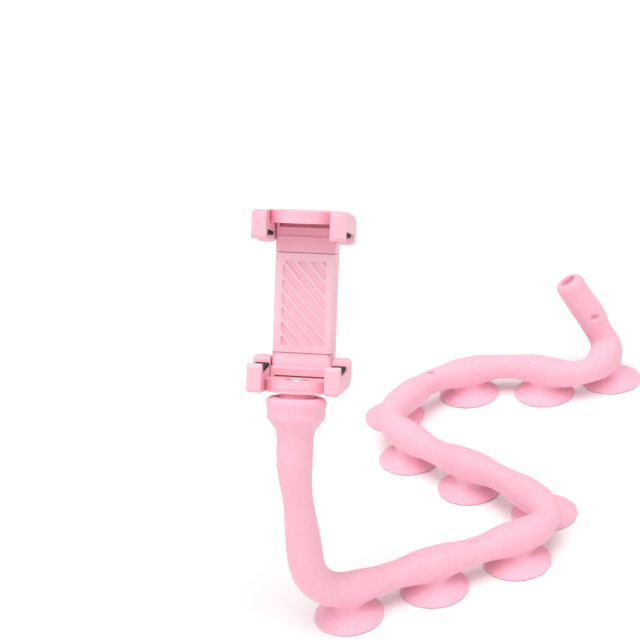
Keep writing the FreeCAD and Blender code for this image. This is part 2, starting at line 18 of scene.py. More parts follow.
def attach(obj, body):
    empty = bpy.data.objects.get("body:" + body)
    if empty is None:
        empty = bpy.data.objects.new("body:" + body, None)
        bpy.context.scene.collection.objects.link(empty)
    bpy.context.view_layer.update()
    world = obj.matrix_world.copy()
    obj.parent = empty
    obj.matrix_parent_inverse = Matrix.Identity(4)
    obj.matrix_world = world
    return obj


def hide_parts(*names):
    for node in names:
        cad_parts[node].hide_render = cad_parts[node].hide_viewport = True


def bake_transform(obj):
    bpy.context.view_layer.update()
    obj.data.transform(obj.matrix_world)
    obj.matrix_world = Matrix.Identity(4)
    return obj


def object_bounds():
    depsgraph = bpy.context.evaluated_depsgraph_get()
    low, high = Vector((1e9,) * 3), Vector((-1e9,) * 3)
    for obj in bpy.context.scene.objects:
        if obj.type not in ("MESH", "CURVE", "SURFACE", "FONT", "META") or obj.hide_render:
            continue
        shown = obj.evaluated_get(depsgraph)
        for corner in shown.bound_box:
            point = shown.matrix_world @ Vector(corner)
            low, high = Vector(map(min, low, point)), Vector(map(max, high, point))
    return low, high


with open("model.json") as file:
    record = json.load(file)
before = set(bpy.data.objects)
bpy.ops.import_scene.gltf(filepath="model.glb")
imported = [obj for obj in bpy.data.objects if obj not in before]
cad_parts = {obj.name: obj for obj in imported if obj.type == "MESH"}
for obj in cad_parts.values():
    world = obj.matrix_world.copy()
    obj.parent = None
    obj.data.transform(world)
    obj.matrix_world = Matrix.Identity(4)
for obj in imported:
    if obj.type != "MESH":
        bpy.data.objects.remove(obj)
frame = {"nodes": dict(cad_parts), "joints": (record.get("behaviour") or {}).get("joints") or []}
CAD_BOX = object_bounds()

LOG = logging.getLogger("phone_mount")
MM = 0.001
MERGE_GAP = 0.002
FLAT_ANGLE = 1.0
SHARP_ANGLE = 28.0
ROOM_IN_WIDTHS = 3
IMAGE_SIDE = 640
SENSOR_WIDTH = 36.0


class Body(str, Enum):
    """The moving bodies that pieces ride on."""

    ARM = "arm"
    CLAMP = "clamp"
    JAW = "jaw"


class Slot(str, Enum):
    """The finishes that a scene can repaint."""

    SILICONE = "silicone"
    CLAMP_PLASTIC = "clamp_plastic"
    PLUG_PLASTIC = "plug_plastic"
    PAD_RUBBER = "pad_rubber"
    SCREW_STEEL = "screw_steel"
    SPRING_STEEL = "spring_steel"


def linear(colour: str) -> tuple[float, float, float, float]:
    """Turns an sRGB hex colour into linear light.

    Args:
        colour: Six hex digits after a hash sign.

    Returns:
        Red, green, blue and an alpha of 1.
    """
    values = []
    for place in (1, 3, 5):
        share = int(colour[place:place + 2], 16) / 255
        values.append(share / 12.92 if share <= 0.04045 else ((share + 0.055) / 1.055) ** 2.4)
    return values[0], values[1], values[2], 1.0


def per_metre(size: float) -> float:
    """Gives the texture scale at which one feature is this many millimetres wide."""
    return 1 / (size * MM)


def add_node(tree: bpy.types.NodeTree, kind: str, values: dict | None = None,
             links: dict | None = None, **settings: object) -> bpy.types.Node:
    """Adds one shader node with its settings, input values and links.

    Args:
        tree: Node tree that gets the node.
        kind: Blender's name for the node type.
        values: Constant for each named or numbered input.
        links: Output socket for each named or numbered input.
        **settings: Properties of the node itself.

    Returns:
        The new node.
    """
    node = tree.nodes.new(kind)
    for name, setting in settings.items():
        setattr(node, name, setting)
    for key, value in (values or {}).items():
        node.inputs[key].default_value = value
    for key, socket in (links or {}).items():
        tree.links.new(socket, node.inputs[key])
    return node


def deselect_all() -> None:
    """Leaves nothing selected, in object mode."""
    if bpy.context.object and bpy.context.object.mode != "OBJECT":
        bpy.ops.object.mode_set(mode="OBJECT")
    bpy.ops.object.select_all(action="DESELECT")


def focus(piece: bpy.types.Object) -> None:
    """Makes one piece the only selected and active object.

    Args:
        piece: The object to select.
    """
    deselect_all()
    piece.select_set(True)
    bpy.context.view_layer.objects.active = piece


@contextmanager
def editing(piece: bpy.types.Object, part: str = "VERT") -> Iterator[bmesh.types.BMesh]:
    """Opens one piece in edit mode with nothing selected, and closes it again.

    Args:
        piece: Mesh object to edit.
        part: VERT, EDGE or FACE, as the selection goes.

    Yields:
        The mesh as it is in edit mode, to select parts of it by their place.
    """
    focus(piece)
    bpy.ops.object.mode_set(mode="EDIT")
    bpy.ops.mesh.select_mode(type=part)
    bpy.ops.mesh.select_all(action="DESELECT")
    yield bmesh.from_edit_mesh(piece.data)
    bpy.ops.object.mode_set(mode="OBJECT")


def select_where(mesh: bmesh.types.BMesh, owner: bpy.types.Object,
                 test: Callable[[Vector], bool]) -> int:
    """Selects the vertices that pass a test of their place.

    Args:
        mesh: The mesh in edit mode.
        owner: The object that it belongs to.
        test: Says of a place whether it is taken.

    Returns:
        How many vertices are selected.
    """
    count = 0
    for vertex in mesh.verts:
        vertex.select_set(test(vertex.co))
        count += vertex.select
    mesh.select_flush(True)
    bmesh.update_edit_mesh(owner.data)
    return count


def apply_modifier(piece: bpy.types.Object, kind: str, **settings: object) -> None:
    """Adds a modifier to a piece with its settings, and applies it.

    Args:
        piece: Mesh object that the modifier works on.
        kind: Blender's name for the modifier type.
        **settings: Properties of the modifier.
    """
    focus(piece)
    modifier = piece.modifiers.new(kind.title(), kind)
    for name, setting in settings.items():
        setattr(modifier, name, setting)
    bpy.ops.object.modifier_apply(modifier=modifier.name)


def merged_copy(node: str, name: str) -> bpy.types.Object:
    """Copies a solid's loose triangles into a new piece with its doubles merged.

    Args:
        node: Name of the solid.
        name: Name of the new piece.

    Returns:
        The new piece, which rides on nothing yet.
    """
    source = frame["nodes"][node]
    piece = bpy.data.objects.new(name, source.data.copy())
    bpy.context.scene.collection.objects.link(piece)
    piece.data.materials.clear()
    with editing(piece):
        bpy.ops.mesh.select_all(action="SELECT")
        bpy.ops.mesh.remove_doubles(threshold=MERGE_GAP * MM)
    return piece


def join_flat_faces() -> None:
    """Joins the triangles of each flat face of the piece in edit mode, and deselects all."""
    bpy.ops.mesh.select_all(action="SELECT")
    bpy.ops.mesh.dissolve_limited(angle_limit=math.radians(FLAT_ANGLE))
    bpy.ops.mesh.select_all(action="DESELECT")


def soften_edges(piece: bpy.types.Object, width: float, segments: int = 2) -> None:
    """Rounds the sharp edges of a small piece and shades it smooth between them.

    Args:
        piece: Mesh object with flat faces and sharp edges.
        width: Width of the rounding in millimetres.
        segments: Number of faces across the rounding.
    """
    with editing(piece):
        join_flat_faces()
    apply_modifier(piece, "BEVEL", width=width * MM, segments=segments, limit_method="ANGLE",
                   angle_limit=math.radians(SHARP_ANGLE), use_clamp_overlap=True,
                   harden_normals=False)
    focus(piece)
    bpy.ops.object.shade_smooth_by_angle(angle=math.radians(SHARP_ANGLE))


def round_roomy_edges(piece: bpy.types.Object, width: float) -> None:
    """Rounds the sharp edges of a moulding that have room for it, and leaves those that have not.

    Args:
        piece: Mesh object with flat faces and sharp edges.
        width: Width of the rounding in millimetres.
    """
    with editing(piece, "EDGE"):
        join_flat_faces()
        mesh = bmesh.from_edit_mesh(piece.data)
        weight = mesh.edges.layers.float.new("bevel_weight_edge")
        for edge in mesh.edges:
            sharp = edge.is_manifold and edge.calc_face_angle() > math.radians(SHARP_ANGLE)
            shortest = min(near.calc_length() for end in edge.verts for near in end.link_edges)
            edge[weight] = float(sharp and shortest > ROOM_IN_WIDTHS * width * MM)
        bmesh.update_edit_mesh(piece.data)
    apply_modifier(piece, "BEVEL", width=width * MM, segments=2, limit_method="WEIGHT",
                   use_clamp_overlap=True, harden_normals=False)
    focus(piece)
    bpy.ops.object.shade_smooth_by_angle(angle=math.radians(SHARP_ANGLE))
    # Flat faces stay flat to the eye beside the rounding
    apply_modifier(piece, "WEIGHTED_NORMAL", mode="FACE_AREA", weight=100, keep_sharp=True)


def lathe(name: str, profile: list[tuple[float, float]], sides: int) -> bpy.types.Object:
    """Models a turned piece from a circle that is extruded and scaled step by step.

    Args:
        name: Name of the new piece.
        profile: (radius, height) in millimetres from one closed end to the other.
        sides: Number of sides round the piece.

    Returns:
        The closed piece round the Z axis at the origin.
    """
    deselect_all()
    radius, height = profile[0]
    bpy.ops.mesh.primitive_circle_add(vertices=sides, radius=radius * MM, fill_type="NGON",
                                      location=(0, 0, height * MM))
    piece = bpy.context.object
    piece.name = piece.data.name = name
    bpy.ops.object.transform_apply(location=True, rotation=True, scale=True)
    with editing(piece) as mesh:
        select_where(mesh, piece, lambda place: True)
        for wider, higher in profile[1:]:
            bpy.ops.mesh.extrude_region_move(
                TRANSFORM_OT_translate={"value": (0, 0, (higher - height) * MM)})
            share = wider / radius
            bpy.ops.transform.resize(value=(share, share, 1), center_override=(0, 0, 0))
            radius, height = wider, higher
        bpy.ops.mesh.select_all(action="SELECT")
        bpy.ops.mesh.normals_make_consistent(inside=False)
    return piece


def joined(pieces: list[bpy.types.Object]) -> bpy.types.Object:
    """Joins several pieces into the first of them.

    Args:
        pieces: The pieces, of which only the first is left.

    Returns:
        The first piece.
    """
    focus(pieces[0])
    for piece in pieces[1:]:
        piece.select_set(True)
    bpy.ops.object.join()
    return pieces[0]


def ramp(value: float, low: float, high: float) -> float:
    """Rises smoothly from 0 at the low end to 1 at the high end."""
    share = min(1.0, max(0.0, (value - low) / (high - low)))
    return share * share * (3 - 2 * share)


def clamp_place() -> Matrix:
    """Gives the clamp's own frame: Z up the swivel axis, the front towards -Y.

    Returns:
        The matrix from the clamp's frame to the model's.
    """
    swivel = next(joint for joint in frame["joints"] if joint["name"] == "clamp_swivel")
    up = Vector(swivel["axis"]).normalized()
    back = up.cross(Vector((1, 0, 0))).normalized()
    turn = Matrix((back.cross(up), back, up)).transposed()
    return Matrix.Translation(Vector(swivel["pos_m"])) @ turn.to_4x4()


@dataclass(frozen=True)
class Finish:
    """A surface finish, which makes its own node material. Its sizes are in millimetres."""

    name: str
    colour: str
    second_colour: str
    roughness: float
    cloud_size: float = 2.0
    spot_size: float = 1.0
    spot_range: float = 0.15
    grain_size: float = 0.4
    grain_depth: float = 0.05
    grain_strength: float = 0.5

    def start(self, values: dict) -> tuple[bpy.types.NodeTree, bpy.types.Node,
                                           bpy.types.NodeSocket]:
        """Starts the material with its uneven gloss and its grain.

        Args:
            values: Constants of the shader besides its roughness.

        Returns:
            Its node tree, its shader without a colour and the Object coordinates.
        """
        material = bpy.data.materials.new(self.name)
        material.use_nodes = True
        tree = material.node_tree
        tree.nodes.clear()
        shader = add_node(tree, "ShaderNodeBsdfPrincipled", {"Roughness": self.roughness, **values})
        add_node(tree, "ShaderNodeOutputMaterial", links={"Surface": shader.outputs["BSDF"]})
        places = add_node(tree, "ShaderNodeTexCoord").outputs["Object"]
        tree.links.new(self.spread(tree, places), shader.inputs["Roughness"])
        tree.links.new(self.grain(tree, places), shader.inputs["Normal"])
        return tree, shader, places

    def noise(self, tree: bpy.types.NodeTree, places: bpy.types.NodeSocket, size: float,
              detail: float) -> bpy.types.NodeSocket:
        """Spreads an even noise over the surface.

        Args:
            tree: Node tree of the material.
            places: Coordinates that the noise lies in.
            size: Width of one spot in millimetres.
            detail: How many finer layers it has.

        Returns:
            The noise, from 0 to 1.
        """
        return add_node(tree, "ShaderNodeTexNoise", {"Scale": per_metre(size), "Detail": detail},
                        {"Vector": places}).outputs["Fac"]

    def mottle(self, tree: bpy.types.NodeTree,
               places: bpy.types.NodeSocket) -> bpy.types.NodeSocket:
        """Mixes the two colours in soft clouds.

        Args:
            tree: Node tree of the material.
            places: Coordinates that the clouds lie in.

        Returns:
            The mixed colour.
        """
        clouds = self.noise(tree, places, self.cloud_size, 3.0)
        return add_node(tree, "ShaderNodeMix",
                        {6: linear(self.colour), 7: linear(self.second_colour)},
                        {0: clouds}, data_type="RGBA").outputs[2]

    def grain(self, tree: bpy.types.NodeTree,
              places: bpy.types.NodeSocket) -> bpy.types.NodeSocket:
        """Roughens the surface with a fine even grain.

        Args:
            tree: Node tree of the material.
            places: Coordinates that the grain lies in.

        Returns:
            The bent normal.
        """
        height = self.noise(tree, places, self.grain_size, 2.0)
        return add_node(tree, "ShaderNodeBump",
                        {"Strength": self.grain_strength, "Distance": self.grain_depth * MM},
                        {"Height": height}).outputs["Normal"]

    def spread(self, tree: bpy.types.NodeTree,
               places: bpy.types.NodeSocket) -> bpy.types.NodeSocket:
        """Varies the roughness a little from spot to spot.

        Args:
            tree: Node tree of the material.
            places: Coordinates that the spots lie in.

        Returns:
            The roughness.
        """
        spots = self.noise(tree, places, self.spot_size, 4.0)
        return add_node(tree, "ShaderNodeMapRange",
                        {"To Min": self.roughness - self.spot_range / 2,
                         "To Max": self.roughness + self.spot_range / 2},
                        {"Value": spots}).outputs["Result"]


@dataclass(frozen=True)
class MouldedSilicone(Finish):
    """Silicone rubber from a mould roughened by spark erosion: matt, with light that goes a little
    way in.
    """

    cloud_size: float = 14.0
    spot_size: float = 3.0
    spot_range: float = 0.12
    # The real grain is about 0.1 mm; it is drawn coarser so that it shows, with painted shade in a
    # deeper pink in its hollows
    grain_size: float = 1.1
    grain_depth: float = 0.12
    grain_strength: float = 1.0
    light_depth: float = 2.2
    # Painted shade: a deeper pink laid into the grain's hollows, over this range of the noise and
    # up to this share
    pit_shade_colour: str = "#EFA0B6"
    pit_shade_range: tuple[float, float] = (0.42, 0.68)
    pit_shade_share: float = 0.28

    def material(self) -> bpy.types.Material:
        """Makes the material.

        Returns:
            The material with its nodes.
        """
        # Light enters the rubber and comes out redder, which fills its shadows with a deeper pink
        tree, shader, places = self.start({
            "Subsurface Weight": 0.35, "Subsurface Radius": (1.0, 0.42, 0.46),
            "Subsurface Scale": self.light_depth * MM, "IOR": 1.41, "Specular IOR Level": 0.35})
        # Painted shade in the grain's hollows, mixed over the skin's own colour
        pit_shade = add_node(tree, "ShaderNodeMapRange",
                        {"From Min": self.pit_shade_range[0], "From Max": self.pit_shade_range[1],
                         "To Max": self.pit_shade_share},
                        {"Value": self.noise(tree, places, self.grain_size, 3.0)})
        skin = add_node(tree, "ShaderNodeMix", {7: linear(self.pit_shade_colour)},
                        {0: pit_shade.outputs["Result"], 6: self.mottle(tree, places)}, data_type="RGBA")
        tree.links.new(skin.outputs[2], shader.inputs["Base Color"])
        return named(self.name)


@dataclass(frozen=True)
class MouldedAbs(Finish):
    """ABS plastic, injection moulded: a satin skin with a faint flow of colour."""

    cloud_size: float = 18.0
    spot_size: float = 2.0
    spot_range: float = 0.1
    # Satin texture of the mould; drawn coarser than its 0.05 mm so that it shows
    grain_size: float = 0.5
    grain_depth: float = 0.02
    grain_strength: float = 0.2
    light_depth: float = 0.8
    # Deeper pink painted as shade on the cover's groove floors
    groove_floor_shade_colour: str = "#FAC1D1"

    def material(self) -> bpy.types.Material:
        """Makes the material.

        Returns:
            The material with its nodes.
        """
        tree, shader, places = self.start({
            "Subsurface Weight": 0.12, "Subsurface Radius": (1.0, 0.45, 0.5),
            "Subsurface Scale": self.light_depth * MM, "IOR": 1.53})
        # The grooves' floors lie deeper and catch less light: painted shade gives them a deeper
        # pink
        groove_floor_shade = add_node(tree, "ShaderNodeAttribute", attribute_name="groove_floor_shade").outputs["Fac"]
        tint = add_node(tree, "ShaderNodeMix", {7: linear(self.groove_floor_shade_colour)},
                        {0: groove_floor_shade, 6: self.mottle(tree, places)}, data_type="RGBA").outputs[2]
        tree.links.new(tint, shader.inputs["Base Color"])
        return named(self.name)


@dataclass(frozen=True)
class PadRubber(Finish):
    """Black nitrile rubber, pressed: dull, with a dusty bloom in patches."""

    cloud_size: float = 1.5

    def material(self) -> bpy.types.Material:
        """Makes the material.

        Returns:
            The material with its nodes.
        """
        tree, shader, places = self.start({"IOR": 1.5, "Specular IOR Level": 0.3})
        tree.links.new(self.mottle(tree, places), shader.inputs["Base Color"])
        return named(self.name)


@dataclass(frozen=True)
class PlatedSteel(Finish):
    """Nickel-plated steel: bright metal with fine wear that dulls it in streaks."""

    spot_size: float = 0.6
    spot_range: float = 0.2
    grain_size: float = 0.3
    grain_depth: float = 0.01
    grain_strength: float = 0.3

    def material(self) -> bpy.types.Material:
        """Makes the material.

        Returns:
            The material with its nodes.
        """
        tree, shader, places = self.start({"Metallic": 1.0})
        tree.links.new(self.mottle(tree, places), shader.inputs["Base Color"])
        return named(self.name)


def named(name: str) -> bpy.types.Material:
    """Gives a material that exists by its name."""
    return bpy.data.materials[name]


SILICONE = MouldedSilicone("moulded_silicone_rose", "#FEC4D3", "#FDBED0", 0.6)
CLAMP_ABS = MouldedAbs("moulded_abs_rose", "#FCBFCE", "#FBB9C9", 0.4)
COVER_ABS = MouldedAbs("moulded_abs_pale_rose", "#FCCDDA", "#FBC8D5", 0.4)
PLUG_ABS = MouldedAbs("moulded_abs_plug", "#F7B3C4", "#F4ABBD", 0.42)
RUBBER = PadRubber("pressed_black_rubber", "#1B191B", "#262325", 0.72)
STEEL = PlatedSteel("nickel_plated_steel", "#D9D6D2", "#C6C2BE", 0.28)
SPRING_WIRE = PlatedSteel("drawn_spring_steel", "#B9B8B6", "#A3A19F", 0.34)


def dress(piece: bpy.types.Object, material: bpy.types.Material) -> None:
    """Gives a piece its material.

    Args:
        piece: The finished mesh object.
        material: Its only material.
    """
    piece.data.materials.clear()
    piece.data.materials.append(material)


@dataclass(frozen=True)
class PinHole:
    """A blind hole that one of the mould's pins leaves in the arm."""

    middle: tuple[float, float, float]
    facing: tuple[float, float, float]
    width: float
    tube_radius: float
    depth: float
    oval: tuple[float, float, float]
    floor_share: float = 0.6
    rim_margin: float = 1.5

    def mouth(self) -> Vector:
        """Gives the place on the tube's surface where the hole opens, in metres."""
        return (Vector(self.middle) + Vector(self.facing) * self.tube_radius) * MM


@dataclass(frozen=True)
class Firmness:
    """How much less a spot is smoothed near a form that keeps its edges."""

    least: float
    near: float
    far: float

    def share(self, distance: float) -> float:
        """Gives the share of the smoothing at a distance in metres from the form."""
        return self.least + (1 - self.least) * ramp(distance, self.near * MM, self.far * MM)


@dataclass
class SiliconeArm:
    """The one-piece arm: bent tube with swells and waists, ten cups and the thick head."""

    cup_sides: int = 72
    desk_slack: float = 0.01
    stem_foot: float = 5.7
    cell: float = 0.86
    light_passes: int = 2
    heavy_passes: int = 54
    regain: float = 0.42
    smooth_factor: float = 0.5
    head_below_swivel: float = 2.2
    head_reach: float = 60.0
    head_least: float = 0.03
    head_gains: tuple[tuple[float, float, float], ...] = ((0.22, 5.0, 11.0), (0.75, 17.0, 30.0))
    foot_firmness: Firmness = Firmness(0.0, 7.6, 11.5)
    tail_firmness: Firmness = Firmness(0.1, 14.0, 22.0)
    hole_firmness: Firmness = Firmness(0.05, 3.0, 7.0)
    mould_ring_depth: float = 32.0
    mould_ring_width: float = 0.9
    mould_ring_height: float = 0.3
    mould_ring_reach: float = 45.0
    barrel_rings: tuple[tuple[float, float, float, float], ...] = (
        (8.6, 12.8, 10.6, 13.4), (12.27, 10.3, 13.0, 11.2))
    ring_depth_slack: float = 0.1
    ring_radius_slack: float = 0.3
    pin_holes: tuple[PinHole, ...] = (
        PinHole((5.33, -78.48, 14.3), (0, 0, 1), 2.8, 6.7, 2.4, (1.25, 1.25, 1.0)),
        PinHole((-28.31, 85.56, 14.3), (0, 0, 1), 2.8, 6.7, 3.6, (1.3, 1.3, 1.0)),
        PinHole((62.27, 119.25, 36.83), (0.396, -0.89, 0.226), 4.6, 8.2, 3.0, (1.2, 1.0, 0.62)))
    tail_end: tuple[float, float, float] = (50.25, 119.65, 59.43)
    tail_waist: tuple[float, float, float] = (68.5, 119.0, 25.2)
    tail_waist_reach: float = 12.0
    tail_waist_band: float = 1.0
    tail_waist_share: float = 0.9
    tail_waist_fade: float = 11.0
    tail_waist_shift: tuple[float, float, float] = (-1.8, 0.0, 0.0)
    tail_shift_fade: float = 15.0
    tail_lean: tuple[float, float, float] = (-1.2, 0.0, 0.0)
    tail_lean_reach: float = 16.0
    tail_lean_fade: float = 22.0
    cup_profile: tuple[tuple[float, float], ...] = (
        (2.6, 6.5), (3.6, 6.15), (5.0, 5.75), (7.2, 5.25), (8.8, 4.8), (10.5, 4.1), (13.0, 2.9),
        (15.3, 1.7), (16.8, 1.0), (17.55, 0.7), (17.7, 0.45), (17.5, 0.12), (16.9, 0.0),
        (15.6, 0.05), (14.0, 0.8), (10.0, 2.3), (5.0, 3.2), (1.0, 3.5))

    def cup_centres(self, mesh: bmesh.types.BMesh) -> list[Vector]:
        """Finds where the cups stand, from the solid's rims on the desk.

        Args:
            mesh: The solid's mesh with its doubles merged.

        Returns:
            The middle of each cup at desk height.
        """
        waiting = {vertex for vertex in mesh.verts if vertex.co.z < self.desk_slack * MM}
        centres = []
        while waiting:
            rim, reached = [], [waiting.pop()]
            while reached:
                vertex = reached.pop()
                rim.append(vertex.co)
                near = {edge.other_vert(vertex) for edge in vertex.link_edges} & waiting
                waiting -= near
                reached.extend(near)
            low, high = (Vector(pick(place[axis] for place in rim) for axis in range(3))
                         for pick in (min, max))
            centres.append((low + high) / 2)
        return centres

    def tube(self) -> tuple[bpy.types.Object, list[Vector]]:
        """Takes tube, stems and head from the solid, without the cups' skirts.

        Returns:
            The closed tube, and the middles of the cups.
        """
        piece = merged_copy("silicone_arm", "silicone_arm_skin")
        with editing(piece) as mesh:
            centres = self.cup_centres(mesh)
            for hole in self.pin_holes:
                middle = Vector(hole.middle) * MM
                floor_reach = hole.floor_share * hole.width * MM
                select_where(mesh, piece, lambda spot: (spot - middle).length < floor_reach)
                lift = (hole.tube_radius - hole.depth) * MM
                bpy.ops.transform.translate(value=Vector(hole.facing) * lift)
                mouth = hole.mouth()
                rim_reach = (hole.depth + hole.rim_margin) * MM
                select_where(mesh, piece, lambda spot: (spot - mouth).length < rim_reach)
                bpy.ops.transform.resize(value=hole.oval, center_override=mouth)
            self.square_barrel(piece, mesh)
            select_where(mesh, piece, lambda place: place.z < self.stem_foot * MM)
            bpy.ops.mesh.delete(type="VERT")
            bpy.ops.mesh.select_all(action="SELECT")
            bpy.ops.mesh.fill_holes(sides=0)
        return piece, centres

    def square_barrel(self, piece: bpy.types.Object, mesh: bmesh.types.BMesh) -> None:
        """Makes the head's barrel longer and its flare shorter.

        Args:
            piece: The solid's copy, in edit mode.
            mesh: Its mesh.
        """
        place = clamp_place()
        up = place.to_3x3().col[2]
        top = place.translation - up * self.head_below_swivel * MM
        for depth, radius, new_depth, new_radius in self.barrel_rings:
            centre = top - up * depth * MM
            count = select_where(
                mesh, piece,
                lambda spot: abs((spot - centre).dot(up)) < self.ring_depth_slack * MM
                and abs((spot - centre).length - radius * MM) < self.ring_radius_slack * MM)
            share = new_radius / radius
            bpy.ops.transform.resize(value=(share, share, share), center_override=centre)
            bpy.ops.transform.translate(value=up * (depth - new_depth) * MM)
            LOG.info("barrel ring at %.1f mm: %d vertices", depth, count)

    def cups(self, centres: list[Vector]) -> list[bpy.types.Object]:
        """Models one cup and copies it to every place.

        Args:
            centres: The middles of the cups at desk height.

        Returns:
            The cups.
        """
        first = lathe("suction_cup", list(self.cup_profile), self.cup_sides)
        copies = []
        for centre in centres:
            copy = bpy.data.objects.new("suction_cup", first.data.copy())
            bpy.context.scene.collection.objects.link(copy)
            copy.data.transform(Matrix.Translation(centre))
            copies.append(copy)
        bpy.data.objects.remove(first)
        return copies

    def softness(self, piece: bpy.types.Object) -> str:
        """Weighs how much each spot is smoothed: the tube fully, rims and openings hardly.

        Args:
            piece: The arm with its even mesh.

        Returns:
            The name of the vertex group.
        """
        place = clamp_place()
        head, up = place.translation, place.to_3x3().col[2]
        tail = Vector(self.tail_end) * MM
        mouths = [hole.mouth() for hole in self.pin_holes]
        group = piece.vertex_groups.new(name="softness")
        for vertex in piece.data.vertices:
            depth = (head - vertex.co).dot(up) - self.head_below_swivel * MM
            weight = self.foot_firmness.share(vertex.co.z)
            if (vertex.co - head).length < self.head_reach * MM:
                share = self.head_least
                for gain, near, far in self.head_gains:
                    share += gain * ramp(depth, near * MM, far * MM)
                weight *= share
            weight *= self.tail_firmness.share((vertex.co - tail).length)
            nearest = min((vertex.co - mouth).length for mouth in mouths)
            weight *= self.hole_firmness.share(nearest)
            group.add([vertex.index], weight, "REPLACE")
        return group.name

    def shape_tail(self, piece: bpy.types.Object) -> None:
        """Draws in the waist under the tail's hole, and leans the tail's end over a little.

        Args:
            piece: The smoothed arm.
        """
        waist, end = Vector(self.tail_waist) * MM, Vector(self.tail_end) * MM
        along = (end - waist).normalized()
        share = self.tail_waist_share
        with editing(piece) as mesh:
            select_where(mesh, piece,
                         lambda spot: (spot - waist).length < self.tail_waist_reach * MM
                         and abs((spot - waist).dot(along)) < self.tail_waist_band * MM)
            bpy.ops.transform.resize(value=(share, share, share), center_override=waist,
                                     use_proportional_edit=True,
                                     proportional_size=self.tail_waist_fade * MM)
            bpy.ops.transform.translate(value=Vector(self.tail_waist_shift) * MM,
                                        use_proportional_edit=True,
                                        proportional_size=self.tail_shift_fade * MM)
            select_where(mesh, piece, lambda spot: (spot - end).length < self.tail_lean_reach * MM)
            bpy.ops.transform.translate(value=Vector(self.tail_lean) * MM,
                                        use_proportional_edit=True,
                                        proportional_size=self.tail_lean_fade * MM)

    def mould_ring(self, piece: bpy.types.Object) -> None:
        """Raises the faint ring that the mould's joint leaves round the neck.

        Args:
            piece: The smoothed arm.
        """
        place = clamp_place()
        head, up = place.translation, place.to_3x3().col[2]
        depth = (self.head_below_swivel + self.mould_ring_depth) * MM
        half = self.mould_ring_width / 2 * MM
        with editing(piece) as mesh:
            select_where(mesh, piece,
                         lambda spot: (head - spot).length < self.mould_ring_reach * MM
                         and abs((head - spot).dot(up) - depth) < half)
            bpy.ops.transform.shrink_fatten(value=self.mould_ring_height * MM)

    def build(self) -> bpy.types.Object:
        """Joins tube and cups into one skin, and smooths it as a soft moulding.

        Returns:
            The finished arm.
        """
        tube, centres = self.tube()
        piece = joined([tube] + self.cups(centres))
        apply_modifier(piece, "REMESH", mode="VOXEL", voxel_size=self.cell * MM, adaptivity=0.0)
        group = self.softness(piece)
        apply_modifier(piece, "SMOOTH", factor=self.smooth_factor, iterations=self.light_passes)
        apply_modifier(piece, "SMOOTH", factor=self.smooth_factor, iterations=self.heavy_passes,
                       vertex_group=group)
        apply_modifier(piece, "DISPLACE", strength=self.regain * MM, mid_level=0.0,
                       direction="NORMAL", vertex_group=group)
        piece.vertex_groups.clear()
        self.shape_tail(piece)
        self.mould_ring(piece)
        # The skin stays within the solid's box
        for vertex in piece.data.vertices:
            vertex.co = [min(max(place, low), high)
                         for place, low, high in zip(vertex.co, *CAD_BOX)]
        focus(piece)
        bpy.ops.object.shade_smooth()
        dress(piece, SILICONE.material())
        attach(piece, Body.ARM.value)
        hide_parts("silicone_arm")
        return piece


